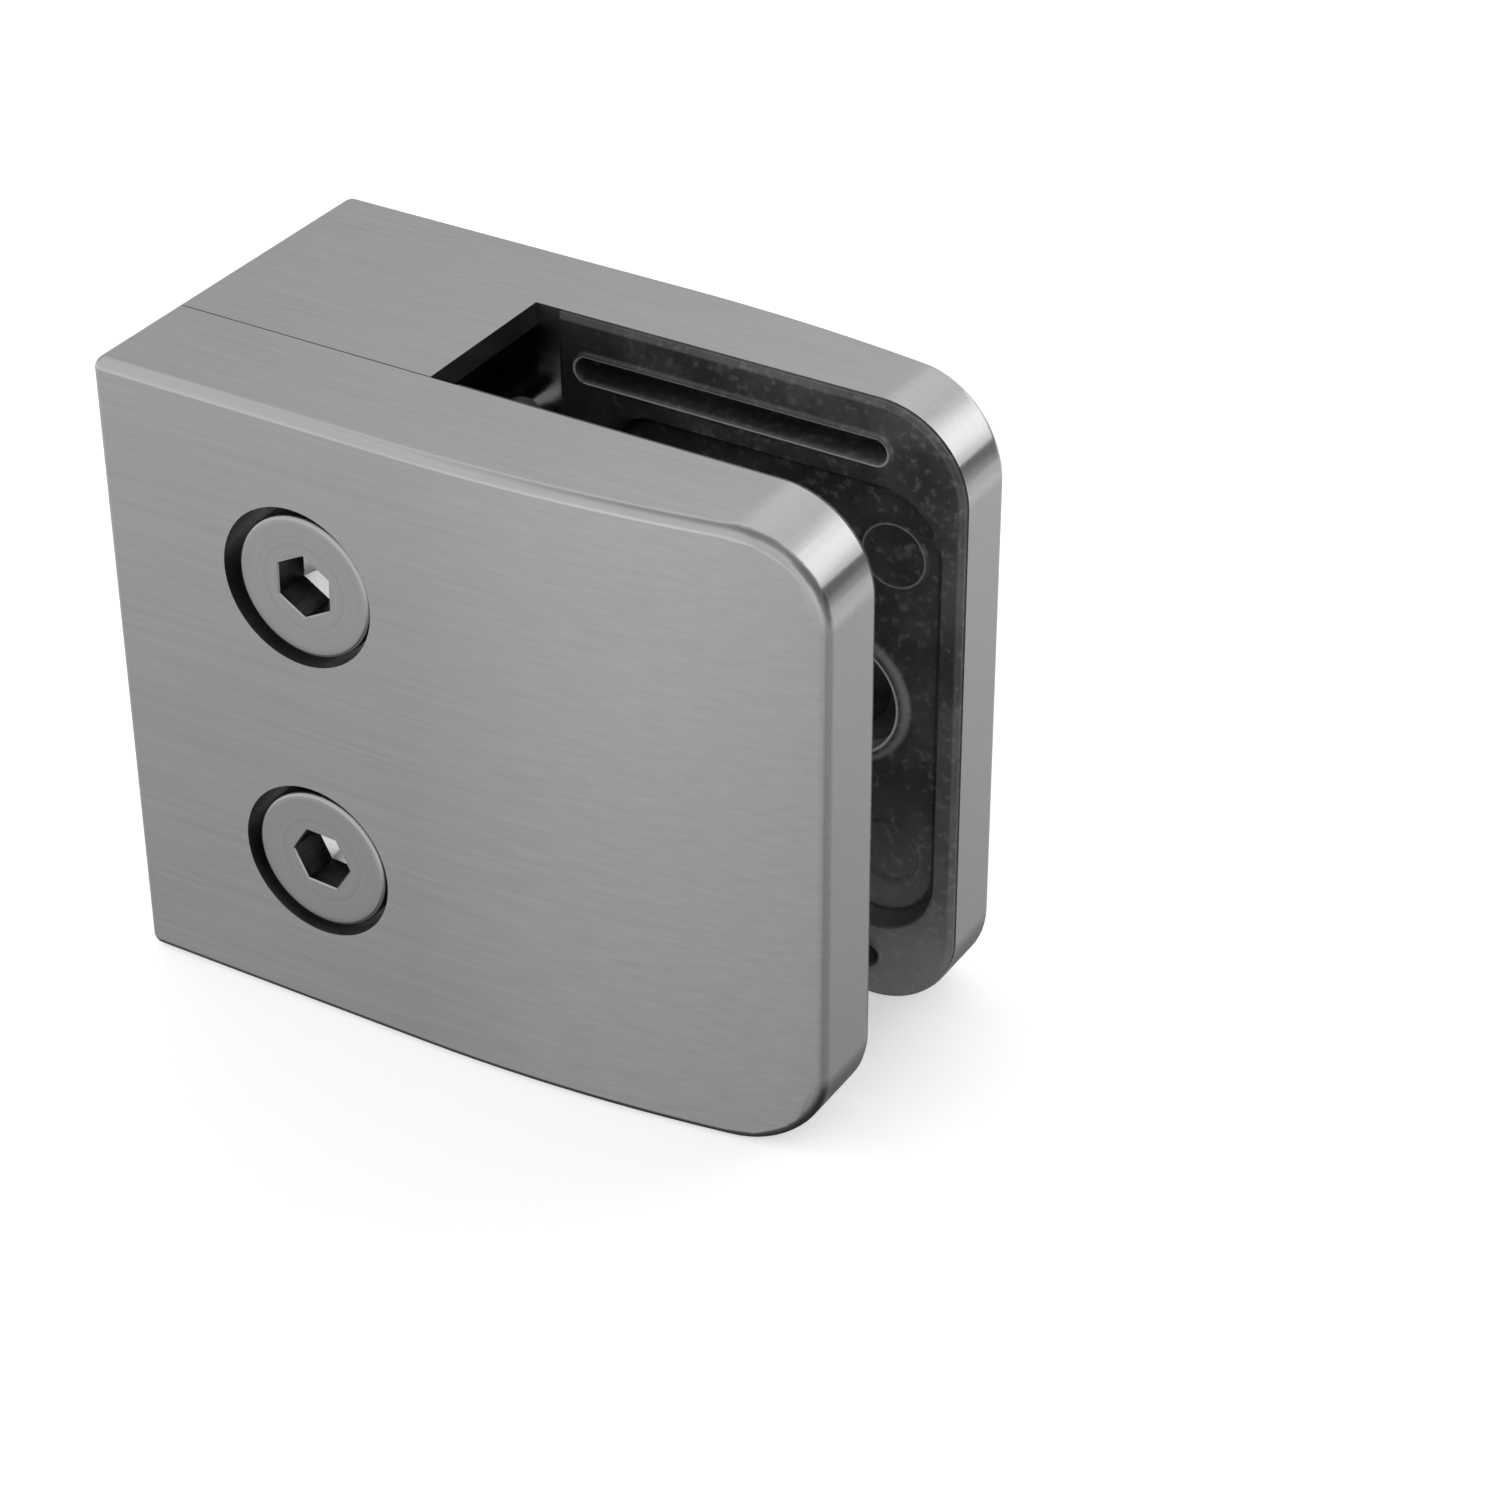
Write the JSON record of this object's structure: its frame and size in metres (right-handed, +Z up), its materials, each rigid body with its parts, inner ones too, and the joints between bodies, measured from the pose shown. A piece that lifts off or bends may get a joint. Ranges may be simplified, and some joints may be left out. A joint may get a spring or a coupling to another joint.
{
  "type": "glass panel clamp",
  "caption": "Two-jaw clamp that bolts to the side of a flat post and grips the edge of a glass panel between rubber liners.",
  "frame": {"origin": "centre of the post bolt's hole, on the face that meets the post", "axes": "+X away from the post into the glass panel, -Y out of the front cover's face, +Z up"},
  "size_m": [0.0536, 0.0289, 0.047],
  "materials": {
    "brushed_stainless": "finely brushed, satin",
    "screw_stainless": "turned, satin",
    "liner_rubber": "moulded, matt"
  },
  "bodies": {
    "body": {"rear_body": "brushed_stainless", "rear_gasket": "liner_rubber"},
    "cover": {"front_cover": "brushed_stainless", "front_gasket": "liner_rubber"},
    "upper_screw": {"upper_clamp_screw": "screw_stainless"},
    "lower_screw": {"lower_clamp_screw": "screw_stainless"}
  },
  "joints": [
    {"name": "cover_travel", "type": "slide", "parent": "body", "child": "cover", "axis": [0, -1, 0], "range_m": [0, 0.008]},
    {"name": "upper_screw_turn", "type": "hinge", "parent": "cover", "child": "upper_screw", "pos_m": [0.0157, -0.0109, 0.0108], "axis": [0, -1, 0], "range_deg": [0, 2880]},
    {"name": "lower_screw_turn", "type": "hinge", "parent": "cover", "child": "lower_screw", "pos_m": [0.0157, -0.0109, -0.0108], "axis": [0, -1, 0], "range_deg": [0, 2880]}
  ],
  "couplings": [
    {"joint": "upper_screw_turn", "follows": "cover_travel", "rad_per_m": 6283.2},
    {"joint": "lower_screw_turn", "follows": "cover_travel", "rad_per_m": 6283.2}
  ]
}
